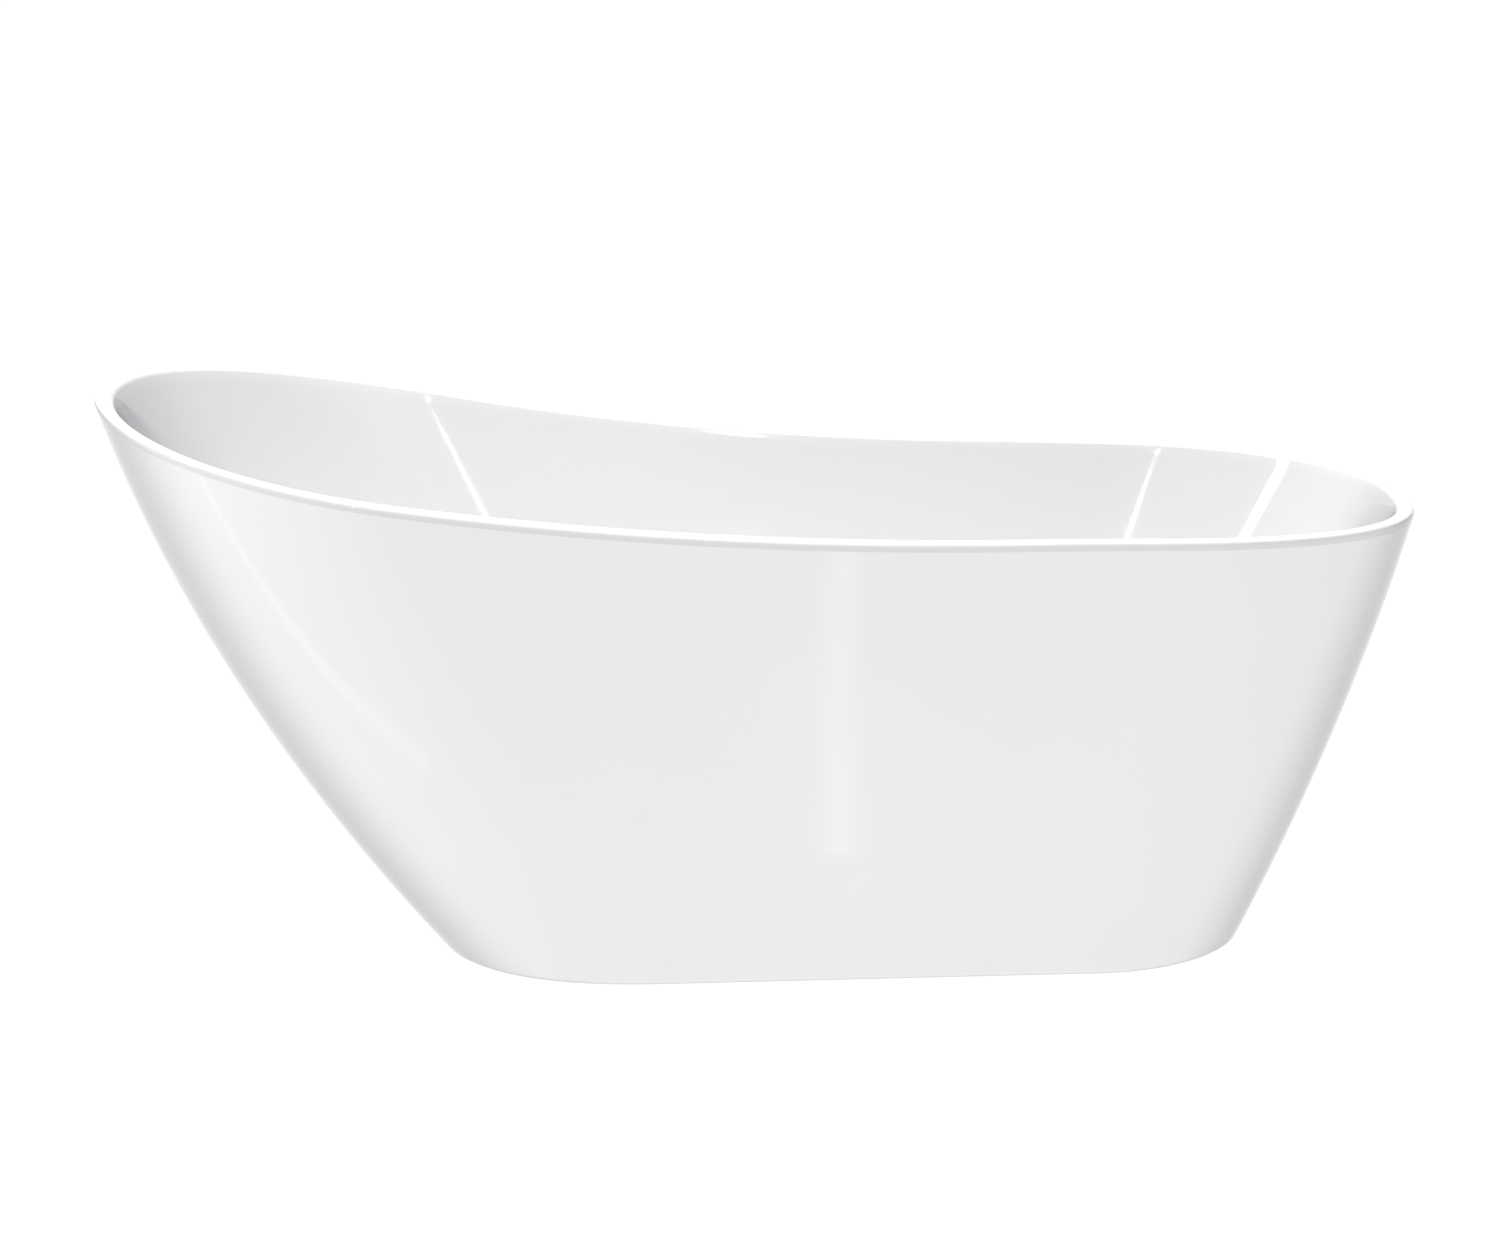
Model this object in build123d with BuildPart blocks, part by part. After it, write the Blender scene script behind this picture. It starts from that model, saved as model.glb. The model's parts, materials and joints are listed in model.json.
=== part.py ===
from build123d import *
from math import cos, pi, radians, sin, sqrt
import os

# Freestanding double-walled bathtub with one raised end, in millimetres.
# X runs along the tub from the raised back (-X) to the low foot end (+X), Y is across it, Z is up.
# The origin is on the floor, under the middle of the tub's length and width.

# ---- overall size ----
length = 1650.0
side_height = 591.4             # rim height along the straight part
back_rise = 134.8               # how much higher the rim is at the back
foot_dip = 11.0                 # how much lower it is at the foot end
rise_start_x = 308.0            # the rim starts to climb here, towards the back
rim_half_width = 361.5          # half width at the rim, at mid length
back_height = side_height + back_rise
foot_height = side_height - foot_dip
skirt_gap = 3.0                 # the skirt's lower edge is this far above the floor
rise_shares = (0.839, 0.161)    # shares of the climb that grow as the square and as the cube
clear = 1.0                     # how far a cutter starts outside what it cuts

# ---- outside form: value at the skirt's lower edge, value at the rim ----
skirt_back_x = (-404.4, -length / 2)
skirt_foot_x = (623.7, length / 2)
skirt_half = (215.0, rim_half_width)
skirt_taper = (0.281, 0.157)    # share by which the foot end is narrower than mid length
back_shoulder_x = (-115.0, -465.0)
foot_shoulder_x = (431.0, 468.0)
back_power = (2.22, 2.02)       # how square the plan's rounded ends are, 2 is an ellipse
foot_power = (2.0, 2.39)
back_belly = 46.6               # outward bulge of the wall half way up
foot_belly = 15.3
side_belly = 18.8

# ---- bathing space ----
rim_width = 22.3
floor_z = 140.0                 # top of the floor
floor_back_x = -430.0
floor_foot_x = 550.0
floor_half = 205.0
floor_taper = 0.2
floor_back_shoulder = -150.0
floor_foot_shoulder = 370.0
floor_power = 2.4
basin_back_belly = 30.0
basin_side_belly = 12.0
floor_radius = 60.0             # cove between floor and walls

# ---- shells ----
wall = 6.0                      # bathing shell, measured level
floor_thickness = 8.0
skirt_wall = 5.0
lip_depth = 12.0                # height of the rim's turned edge
rim_outer_radius = 9.0
rim_inner_radius = 6.0
skirt_edge_radius = 8.0
skirt_flange = 22.0             # the skirt's lower edge turns in by this much
bond_depth = 18.0               # resin bead under the rim
bond_gap = 0.5                  # between bonded faces
top_z = 745.0                   # any height above the rim, where the forms end
skirt_levels = (skirt_gap, 130, 280, 440, 600, top_z)
basin_levels = (floor_z, 260, 380, 500, 620, top_z)

# ---- frame ----
board_thickness = 16.0
board_inset = 42.0
board_top = floor_z - floor_thickness
board_bottom = board_top - board_thickness
tube = 30.0                     # square steel tube
tube_wall = 2.0
rail_y = 130.0
rail_back_x = -320.0
rail_foot_x = 500.0
rail_z = board_bottom - tube / 2
rail_bottom = board_bottom - tube
cross_x = {"back": -300.0, "middle": 60.0, "foot": 350.0}
tube_corner = 3.0
tube_inner_corner = 1.0
inner_tube = tube - 2 * tube_wall
cap_thickness = 3.0
cap_plug_length = 12.0
cap_plug_gap = 0.4
foot_x = (-250.0, 420.0)
feet = [(x, y) for x in foot_x for y in (-rail_y, rail_y)] + [(cross_x["middle"], 0)]
board_hole_gap = 11.0           # between the waste shoe and the board
board_screw_x = (-180.0, 0.0, 180.0, 370.0)
board_screw_r = 2.4
board_screw_hole_r = 2.6
board_screw_head_r = 5.0
board_screw_socket_r = 2.0
screw_head_height = 3.0

# ---- levelling foot, M12 ----
thread_r = 6.0
thread_pitch = 1.75
thread_depth = 0.9
thread_low = 28.0
thread_top = 108.0
thread_gap = 0.08               # radial clearance in the nuts
stud_hole_r = 6.6
core_r = 4.0                    # plain neck under the thread
nut_flats = 19.0
weld_nut_height = 10.0
lock_nut_height = 7.0
pad_r = 26.0
pad_height = 15.0
pad_rim = 4.0                   # thickness at the pad's edge
pad_collar_r = 10.0
ball_r = 6.5
ball_z = 8.5
ball_gap = 0.06
spanner_flats = 17.0
spanner_height = 7.0

# ---- skirt fixings ----
block_size = (44.0, 26.0, 60.0)
block_x = (-140.0, 290.0)
block_z = 105.0
block_reach = 90.0              # length of skirt looked at to place a block
bracket_width = 30.0
bracket_steel = 2.5
bracket_top = 128.0
bracket_foot_y = 117.0          # inner end of the bracket's foot, under the rail
bracket_screw_z = 117.0
bracket_screw_r = 2.2
bracket_screw_hole_r = 2.3
bracket_screw_head_r = 4.5
bracket_screw_socket_r = 1.8
bracket_screw_core_r = 2.0      # the part tapped into the rail
bracket_screw_end = 12.0

# ---- waste, on one vertical axis ----
drain_x = 440.0
drain_hole_r = 21.6
recess_r = 37.0
recess_depth = 2.5
dish_r = 68.0
flange_r = 35.0
drain_body_r = 21.0
drain_bore_r = 18.0
drain_body_bottom = 95.0
shoe_r = 27.0
shoe_bottom = 62.0
tail_r = 19.05                  # outside of a 1 1/2 inch waste tube
tail_bore_r = 17.5
tail_bottom = 12.0
tail_neck_r = 18.3              # thinner upper end of the tube, in the nut
tail_neck_bottom = 36.0
tail_nut_bottom = 40.0
tail_flare = 2.0
tail_flare_r = 23.5
neck_length = 12.0              # outlet neck under the shoe
neck_r = 24.0
tail_nut_flats = 57.0
tail_nut_height = 20.0
washer_thickness = 3.0
branch_z = 78.0
nipple_r = 9.5
nipple_bore_r = 7.5
branch_length = 38.0
hose_bore_r = 9.6
hose_r = 12.0
seat_z = floor_z - recess_depth
gasket_thickness = 1.5
lower_gasket_thickness = 3.0
gasket_gap = 0.6                # between a gasket's bore and the flange's body
shoe_rim = 5.0
shoe_rim_width = 6.0
flange_thickness = 2.5
flange_seat_depth = 2.0
spider_height = 4.0
spider_hub_r = 7.0
spider_arm = 3.0
spider_bore_r = 5.1
post_r = 7.0
post_foot_r = 5.0
post_bore_r = 4.06
stem_r = 4.0
spring_length = 15.0
spring_r = 3.0
spring_wire_r = 0.4
spring_pitch = 2.3
cap_boss_r = 12.0
cap_boss_height = 3.0
stopper_r = 23.5
stopper_lift = 9.0              # travel from open down to closed

# ---- overflow, on the foot end wall ----
overflow_z = 500.0
overflow_slot = (48.0, 10.0)
overflow_cover_size = (64.0, 24.0)
overflow_seat_depth = 0.8
overflow_cover_thickness = 3.0
overflow_body_size = (60.0, 22.0)
overflow_body_depth = 20.0
overflow_gasket_thickness = 2.5
overflow_gasket_gap = 0.2       # behind the wall, which is not quite flat
overflow_nipple_length = 22.0
overflow_seat_gap = 0.5         # round the cover, in its seat
overflow_screw_x = overflow_slot[0] / 2 + 3
overflow_screw_r = 1.5
overflow_pilot_r = 1.6
overflow_screw_hole_r = 2.1
overflow_head_r = 3.2
overflow_head_height = 1.2
overflow_screw_length = 10.0
hose_straight = 65.0
hose_bends = (350.0, 60.0)
hose_corner_x = 600.0
clamp_width = 9.0
clamp_gap = 0.05


def between(pair, t):
    """Value at t from 0 to 1 between the two of a pair."""
    return pair[0] + (pair[1] - pair[0]) * t


def belly(t):
    """Bulge that is 0 at both ends and 1 half way."""
    return 4 * t * (1 - t)


def plan_points(back, foot, half, taper, shoulders, powers):
    """Egg-shaped plan outline: two rounded ends and straight sides, tapered evenly towards the foot."""
    back_shoulder, foot_shoulder = shoulders
    end_steps = 8
    side_steps = 4
    quarter = []
    for i in range(end_steps + 1):
        a = i / end_steps * pi / 2
        x = foot_shoulder + (foot - foot_shoulder) * abs(cos(a)) ** (2 / powers[1])
        quarter.append((x, half * sin(a) ** (2 / powers[1])))
    for i in range(1, side_steps):
        quarter.append((between((foot_shoulder, back_shoulder), i / side_steps), half))
    for i in range(end_steps):
        a = i / end_steps * pi / 2
        x = back_shoulder - (back_shoulder - back) * sin(a) ** (2 / powers[0])
        quarter.append((x, half * cos(a) ** (2 / powers[0])))
    quarter.append((back, 0))
    points = [(x, y * (1 - taper * x / (length / 2))) for x, y in quarter]
    mirrored = [(x, -y) for x, y in reversed(points[1:-1])]
    return points + mirrored


def skirt_plan(z, inset):
    """Outline of the outside at height z, moved inwards."""
    t_back = (z - skirt_gap) / (back_height - skirt_gap)
    t_foot = (z - skirt_gap) / (foot_height - skirt_gap)
    t_side = (z - skirt_gap) / (side_height - skirt_gap)
    back = between(skirt_back_x, t_back) - back_belly * belly(t_back) + inset
    foot = between(skirt_foot_x, t_foot) + foot_belly * belly(t_foot) - inset
    half = between(skirt_half, t_side) + side_belly * belly(t_side) - inset
    shoulders = (between(back_shoulder_x, t_back), between(foot_shoulder_x, t_foot))
    powers = (between(back_power, t_back), between(foot_power, t_foot))
    return plan_points(back, foot, half, between(skirt_taper, t_side), shoulders, powers)


def basin_plan(z, inset):
    """Outline of the bathing space at height z, moved inwards."""
    t_back = (z - floor_z) / (back_height - floor_z)
    t_foot = (z - floor_z) / (foot_height - floor_z)
    t_side = (z - floor_z) / (side_height - floor_z)
    back = between((floor_back_x, -length / 2 + rim_width), t_back) - basin_back_belly * belly(t_back)
    foot = between((floor_foot_x, length / 2 - rim_width), t_foot)
    half = between((floor_half, rim_half_width - rim_width), t_side) + basin_side_belly * belly(t_side)
    shoulders = (
        between((floor_back_shoulder, back_shoulder_x[1]), t_back),
        between((floor_foot_shoulder, foot_shoulder_x[1]), t_foot),
    )
    powers = (between((floor_power, back_power[1]), t_back), between((floor_power, foot_power[1]), t_foot))
    taper = between((floor_taper, skirt_taper[1]), t_side)
    return plan_points(back + inset, foot - inset, half - inset, taper, shoulders, powers)


def rim_z(x):
    """Height of the rim above the floor at x."""
    rise = max(0, (rise_start_x - x) / (rise_start_x + length / 2))
    dip = max(0, (x - rise_start_x) / (length / 2 - rise_start_x))
    climb = rise_shares[0] * rise**2 + rise_shares[1] * rise**3
    return side_height + back_rise * climb - foot_dip * dip**2


def lofted_form(plan, levels, inset):
    """Closed solid with the plan's outline at each level."""
    with BuildPart() as form:
        for z in levels:
            with BuildSketch(Plane.XY.offset(z)):
                with BuildLine():
                    Spline(*plan(z, inset), periodic=True)
                make_face()
        loft()
    return form.part


def under_rim(drop):
    """Everything lower than the rim's surface less a drop."""
    reach = length / 2 + 75
    steps = 16
    xs = [-reach + 2 * reach * i / steps for i in range(steps + 1)]
    with BuildPart() as block:
        with BuildSketch(Plane.XZ.offset(-reach)):
            with BuildLine():
                edge = Spline(*[(x, rim_z(x) - drop) for x in xs])
                Polyline(edge @ 1, (reach, -50), (-reach, -50), edge @ 0)
            make_face()
        extrude(amount=2 * reach)
    return block.part


def save(builder, name):
    """Label a finished piece and write its file."""
    builder.part.label = name
    export_step(builder.part, f"parts/{name}.step")


def ring(bottom, top, inner_r, outer_r, mode=Mode.ADD):
    """Upright ring about the drain's axis."""
    with BuildSketch(Plane((drain_x, 0, bottom))) as section:
        Circle(outer_r)
        if inner_r > 0:
            Circle(inner_r, mode=Mode.SUBTRACT)
    extrude(section.sketch, amount=top - bottom, mode=mode)


# ---- shared forms ----
rim_top = under_rim(0)
rim_underside = under_rim(lip_depth)
outside = lofted_form(skirt_plan, skirt_levels, 0)
skirt_core = lofted_form(skirt_plan, (skirt_gap + skirt_wall,) + skirt_levels[1:], skirt_wall)
bathing_space = lofted_form(basin_plan, basin_levels, 0)
bathing_space = bathing_space.fillet(floor_radius, bathing_space.faces().sort_by(Axis.Z)[0].edges())
basin_outside = lofted_form(basin_plan, (board_top,) + basin_levels[1:], -wall)
basin_outside = basin_outside.fillet(floor_radius + wall, basin_outside.faces().sort_by(Axis.Z)[0].edges())
bond_outside = lofted_form(skirt_plan, skirt_levels, skirt_wall + bond_gap)
bond_inside = lofted_form(basin_plan, basin_levels, -wall - bond_gap)

# The foot end wall is straight in section, so one plane serves the overflow.
# It faces into the tub, its x runs across the tub and its y runs down the wall.
wall_lean = (length / 2 - rim_width - floor_foot_x) / (foot_height - floor_z)
wall_normal = 1 / sqrt(1 + wall_lean**2)
overflow_x = floor_foot_x + wall_lean * (overflow_z - floor_z)
overflow_plane = Plane(
    origin=(overflow_x, 0, overflow_z),
    x_dir=(0, 1, 0),
    z_dir=(-wall_normal, 0, wall_lean * wall_normal),
)
wall_square = wall * wall_normal        # thickness of the end wall, square to it


def make_bathing_shell():
    """One-piece inner shell: turned-over rim, walls and floor, with its waste and overflow holes."""
    with BuildPart() as shell:
        add(outside)
        add(rim_top, mode=Mode.INTERSECT)
        fillet(shell.faces().filter_by(GeomType.EXTRUSION)[0].edges(), rim_outer_radius)
        add(rim_underside - basin_outside, mode=Mode.SUBTRACT)
        add(bathing_space, mode=Mode.SUBTRACT)
        rim_face = shell.faces().filter_by(GeomType.EXTRUSION).sort_by(Axis.Z)[-1]
        fillet(rim_face.inner_wires()[0].edges(), rim_inner_radius)
        with BuildSketch(Plane.XZ):
            with BuildLine():
                Polyline(
                    (drain_x, floor_z + clear),
                    (drain_x, seat_z),
                    (drain_x + recess_r, seat_z),
                    (drain_x + dish_r, floor_z),
                    (drain_x + dish_r, floor_z + clear),
                    close=True,
                )
            make_face()
        revolve(axis=Axis((drain_x, 0, 0), (0, 0, 1)), mode=Mode.SUBTRACT)
        with BuildSketch(Plane((drain_x, 0, board_top - clear))):
            Circle(drain_hole_r)
        extrude(amount=floor_thickness + 2 * clear, mode=Mode.SUBTRACT)
        with BuildSketch(overflow_plane.offset(-overflow_seat_depth)):
            SlotOverall(*[size + 2 * overflow_seat_gap for size in overflow_cover_size])
        extrude(amount=2 * wall, mode=Mode.SUBTRACT)
        with BuildSketch(overflow_plane.offset(-2 * wall)):
            SlotOverall(*overflow_slot)
            with Locations((-overflow_screw_x, 0), (overflow_screw_x, 0)):
                Circle(overflow_screw_hole_r)
        extrude(amount=4 * wall, mode=Mode.SUBTRACT)
    save(shell, "bathing_shell")


def make_outer_skirt():
    """Outer shell under the rim, with its lower edge turned in."""
    with BuildPart() as skirt:
        add(outside)
        add(under_rim(lip_depth + bond_gap), mode=Mode.INTERSECT)
        fillet(skirt.faces().sort_by(Axis.Z)[0].edges(), skirt_edge_radius)
        add(skirt_core, mode=Mode.SUBTRACT)
        with BuildSketch(Plane.XY):
            with BuildLine():
                Spline(*skirt_plan(skirt_gap, skirt_flange), periodic=True)
            make_face()
        extrude(amount=skirt_gap + 2 * skirt_wall, mode=Mode.SUBTRACT)
    save(skirt, "outer_skirt")


def make_rim_bond_strip():
    """Resin bead that joins the two shells all round, under the rim."""
    with BuildPart() as strip:
        add(bond_outside)
        add(under_rim(lip_depth + bond_gap), mode=Mode.INTERSECT)
        add(under_rim(lip_depth + bond_depth), mode=Mode.SUBTRACT)
        add(bond_inside, mode=Mode.SUBTRACT)
    save(strip, "rim_bond_strip")


def make_base_board():
    """Board under the flat of the floor, with a hole around the waste."""
    with BuildPart() as board:
        with BuildSketch(Plane.XY.offset(board_bottom)):
            with BuildLine():
                Spline(*basin_plan(floor_z, board_inset), periodic=True)
            make_face()
            with Locations((drain_x, 0)):
                Circle(shoe_r + board_hole_gap, mode=Mode.SUBTRACT)
        extrude(amount=board_thickness)
    save(board, "base_board")


def make_frame():
    """Two long tubes and three cross tubes, and the plastic caps in the long tubes' ends."""
    rail_length = rail_foot_x - rail_back_x
    rail_middle = (rail_foot_x + rail_back_x) / 2
    for name, side in (("front", -1), ("rear", 1)):
        with BuildPart() as rail:
            with BuildSketch(Plane((rail_middle, side * rail_y, rail_z), x_dir=(0, 1, 0), z_dir=(1, 0, 0))):
                RectangleRounded(tube, tube, tube_corner)
                RectangleRounded(inner_tube, inner_tube, tube_inner_corner, mode=Mode.SUBTRACT)
            extrude(amount=rail_length / 2, both=True)
            with BuildSketch(Plane.XY.offset(rail_bottom - clear)):
                with Locations([(x, side * rail_y) for x in foot_x]):
                    Circle(stud_hole_r)
                with Locations([(x, side * rail_y) for x in block_x]):
                    Circle(bracket_screw_core_r + 0.1)
            extrude(amount=tube_wall + 2 * clear, mode=Mode.SUBTRACT)
            with BuildSketch(Plane.XY.offset(rail_bottom - clear)):
                with Locations([(x, side * rail_y) for x in board_screw_x]):
                    Circle(board_screw_hole_r)
            extrude(amount=tube + 2 * clear, mode=Mode.SUBTRACT)
        save(rail, f"frame_rail_{name}")
    for name, x in cross_x.items():
        with BuildPart() as cross:
            with BuildSketch(Plane((x, 0, rail_z), x_dir=(1, 0, 0), z_dir=(0, 1, 0))):
                RectangleRounded(tube, tube, tube_corner)
                RectangleRounded(inner_tube, inner_tube, tube_inner_corner, mode=Mode.SUBTRACT)
            extrude(amount=rail_y - tube / 2, both=True)
            if (x, 0) in feet:
                with BuildSketch(Plane((x, 0, rail_bottom - clear))):
                    Circle(stud_hole_r)
                extrude(amount=tube_wall + 2 * clear, mode=Mode.SUBTRACT)
        save(cross, f"frame_cross_{name}")
    plug = inner_tube - cap_plug_gap
    with BuildPart() as caps:
        for x, way in ((rail_back_x, -1), (rail_foot_x, 1)):
            with BuildSketch(Plane((x, 0, rail_z), x_dir=(0, 1, 0), z_dir=(way, 0, 0))):
                with Locations((-rail_y, 0), (rail_y, 0)):
                    RectangleRounded(tube, tube, tube_corner)
            extrude(amount=cap_thickness)
            with BuildSketch(Plane((x, 0, rail_z), x_dir=(0, 1, 0), z_dir=(-way, 0, 0))):
                with Locations((-rail_y, 0), (rail_y, 0)):
                    RectangleRounded(plug, plug, tube_inner_corner)
            extrude(amount=cap_plug_length)
    save(caps, "rail_end_caps")


def make_board_screws():
    """Long screws from below through the rails, up to the board."""
    places = [(x, y) for x in board_screw_x for y in (-rail_y, rail_y)]
    socket_depth = screw_head_height - clear
    with BuildPart() as screws:
        with BuildSketch(Plane.XY.offset(rail_bottom - screw_head_height)):
            with Locations(places):
                Circle(board_screw_head_r)
        extrude(amount=screw_head_height)
        with BuildSketch(Plane.XY.offset(rail_bottom - screw_head_height)):
            with Locations(places):
                RegularPolygon(board_screw_socket_r, 6, major_radius=False)
        extrude(amount=socket_depth, mode=Mode.SUBTRACT)
        with BuildSketch(Plane.XY.offset(rail_bottom)):
            with Locations(places):
                Circle(board_screw_r)
        extrude(amount=tube)
    save(screws, "board_screws")


def make_feet():
    """Levelling feet: pad, threaded stud with a ball end, weld nut and lock nut."""
    socket_r = ball_r + ball_gap
    socket_mouth = socket_r * cos(radians(45))
    for number, (x, y) in enumerate(feet, start=1):
        with BuildPart() as pad:
            with BuildSketch(Plane.XZ.offset(-y)):
                with BuildLine():
                    Polyline(
                        (x, 0),
                        (x + pad_r, 0),
                        (x + pad_r, pad_rim),
                        (x + pad_collar_r + 1, ball_z),
                        (x + pad_collar_r, pad_height),
                        (x, pad_height),
                        close=True,
                    )
                make_face()
            revolve(axis=Axis((x, y, 0), (0, 0, 1)))
            with BuildSketch(Plane.XZ.offset(-y)):
                with BuildLine():
                    Line((x, pad_height + clear), (x, ball_z - socket_r))
                    CenterArc((x, ball_z), socket_r, -90, 135)
                    Polyline(
                        (x + socket_mouth, ball_z + socket_mouth),
                        (x + socket_mouth + clear, pad_height + clear),
                        (x, pad_height + clear),
                    )
                make_face()
            revolve(axis=Axis((x, y, 0), (0, 0, 1)), mode=Mode.SUBTRACT)
        save(pad, f"foot_pad_{number}")
        make_stud(number, x, y)
    with BuildPart() as weld_nuts:
        with BuildSketch(Plane.XY.offset(rail_bottom - weld_nut_height)):
            with Locations(feet):
                RegularPolygon(nut_flats / 2, 6, major_radius=False)
                Circle(thread_r + thread_gap, mode=Mode.SUBTRACT)
        extrude(amount=weld_nut_height)
    save(weld_nuts, "foot_weld_nuts")
    with BuildPart() as lock_nuts:
        with BuildSketch(Plane.XY.offset(rail_bottom - weld_nut_height - lock_nut_height)):
            with Locations(feet):
                RegularPolygon(nut_flats / 2, 6, major_radius=False)
                Circle(thread_r + thread_gap, mode=Mode.SUBTRACT)
        extrude(amount=lock_nut_height)
    save(lock_nuts, "foot_lock_nuts")


def make_stud(number, x, y):
    """Stud with a ball end, a hexagon for the spanner and a thread drawn as rings."""
    turns = int((thread_top - thread_low) / thread_pitch) - 2
    rings = []
    for i in range(turns):
        z = thread_low + i * thread_pitch
        rings += [(x + thread_r - thread_depth, z), (x + thread_r, z + thread_pitch / 2)]
    neck_z = ball_z + sqrt(ball_r**2 - core_r**2)
    hexagon_z = thread_low - spanner_height - 2
    with BuildPart() as stud:
        with BuildSketch(Plane.XZ.offset(-y)):
            with BuildLine():
                CenterArc((x, ball_z), ball_r, -90, 180)
                Line((x, ball_z + ball_r), (x, ball_z - ball_r))
            make_face()
        revolve(axis=Axis((x, y, 0), (0, 0, 1)))
        with BuildSketch(Plane.XZ.offset(-y)):
            with BuildLine():
                Polyline(
                    (x, ball_z),
                    (x + core_r, neck_z - 1),
                    (x + core_r, hexagon_z),
                    (x + thread_r - thread_depth, hexagon_z + spanner_height),
                    *rings,
                    (x + core_r, thread_top),
                    (x, thread_top),
                    close=True,
                )
            make_face()
        revolve(axis=Axis((x, y, 0), (0, 0, 1)))
        with BuildSketch(Plane((x, y, hexagon_z))):
            RegularPolygon(spanner_flats / 2, 6, major_radius=False)
        extrude(amount=spanner_height)
    save(stud, f"foot_stud_{number}")


def make_skirt_fixings():
    """Wooden blocks bonded inside the skirt, steel angles from them to the rails, and screws."""
    inner_face = {}
    corners = [(x, side) for x in block_x for side in (-1, 1)]
    for number, (x, side) in enumerate(corners, start=1):
        low = block_z - block_size[2] / 2
        narrow = min(abs(y) for px, y in skirt_plan(low, skirt_wall) if abs(px - x) < block_reach)
        inner_face[number] = narrow - block_size[1]
        with BuildPart() as block:
            with BuildSketch(Plane((x, side * inner_face[number], low), x_dir=(1, 0, 0), z_dir=(0, 0, 1))):
                with Locations((0, side * block_size[1])):
                    Rectangle(block_size[0], 2 * block_size[1])
            extrude(amount=block_size[2])
            add(bond_outside, mode=Mode.INTERSECT)
        save(block, f"skirt_block_{number}")
        face = side * inner_face[number]
        foot_y = side * bracket_foot_y
        with BuildPart() as bracket:
            with BuildSketch(Plane.YZ.offset(x - bracket_width / 2)):
                with BuildLine():
                    Polyline(
                        (foot_y, rail_bottom),
                        (foot_y, rail_bottom - bracket_steel),
                        (face, rail_bottom - bracket_steel),
                        (face, bracket_top),
                        (face - side * bracket_steel, bracket_top),
                        (face - side * bracket_steel, rail_bottom),
                        close=True,
                    )
                make_face()
            extrude(amount=bracket_width)
            with BuildSketch(Plane((x, side * rail_y, rail_bottom - bracket_steel - clear))):
                Circle(bracket_screw_hole_r)
            extrude(amount=bracket_steel + clear, mode=Mode.SUBTRACT)
            with BuildSketch(Plane((x, face, bracket_screw_z), x_dir=(1, 0, 0), z_dir=(0, -side, 0))):
                Circle(bracket_screw_hole_r)
            extrude(amount=bracket_steel + clear, mode=Mode.SUBTRACT)
        save(bracket, f"skirt_bracket_{number}")
    with BuildPart() as screws:
        for number, (x, side) in enumerate(corners, start=1):
            head = side * (inner_face[number] - bracket_steel)
            upright = Plane((x, head, bracket_screw_z), x_dir=(1, 0, 0), z_dir=(0, side, 0))
            level = Plane((x, side * rail_y, rail_bottom - bracket_steel))
            for plane in (upright, level):
                with BuildSketch(plane.offset(-screw_head_height)):
                    Circle(bracket_screw_head_r)
                extrude(amount=screw_head_height)
                with BuildSketch(plane.offset(-screw_head_height)):
                    RegularPolygon(bracket_screw_socket_r, 6, major_radius=False)
                extrude(amount=screw_head_height - clear, mode=Mode.SUBTRACT)
            with BuildSketch(upright):
                Circle(bracket_screw_r)
            extrude(amount=bracket_steel)
            with BuildSketch(level):
                Circle(bracket_screw_core_r)
            extrude(amount=bracket_steel + bracket_screw_end)
    save(screws, "bracket_screws")


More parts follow.
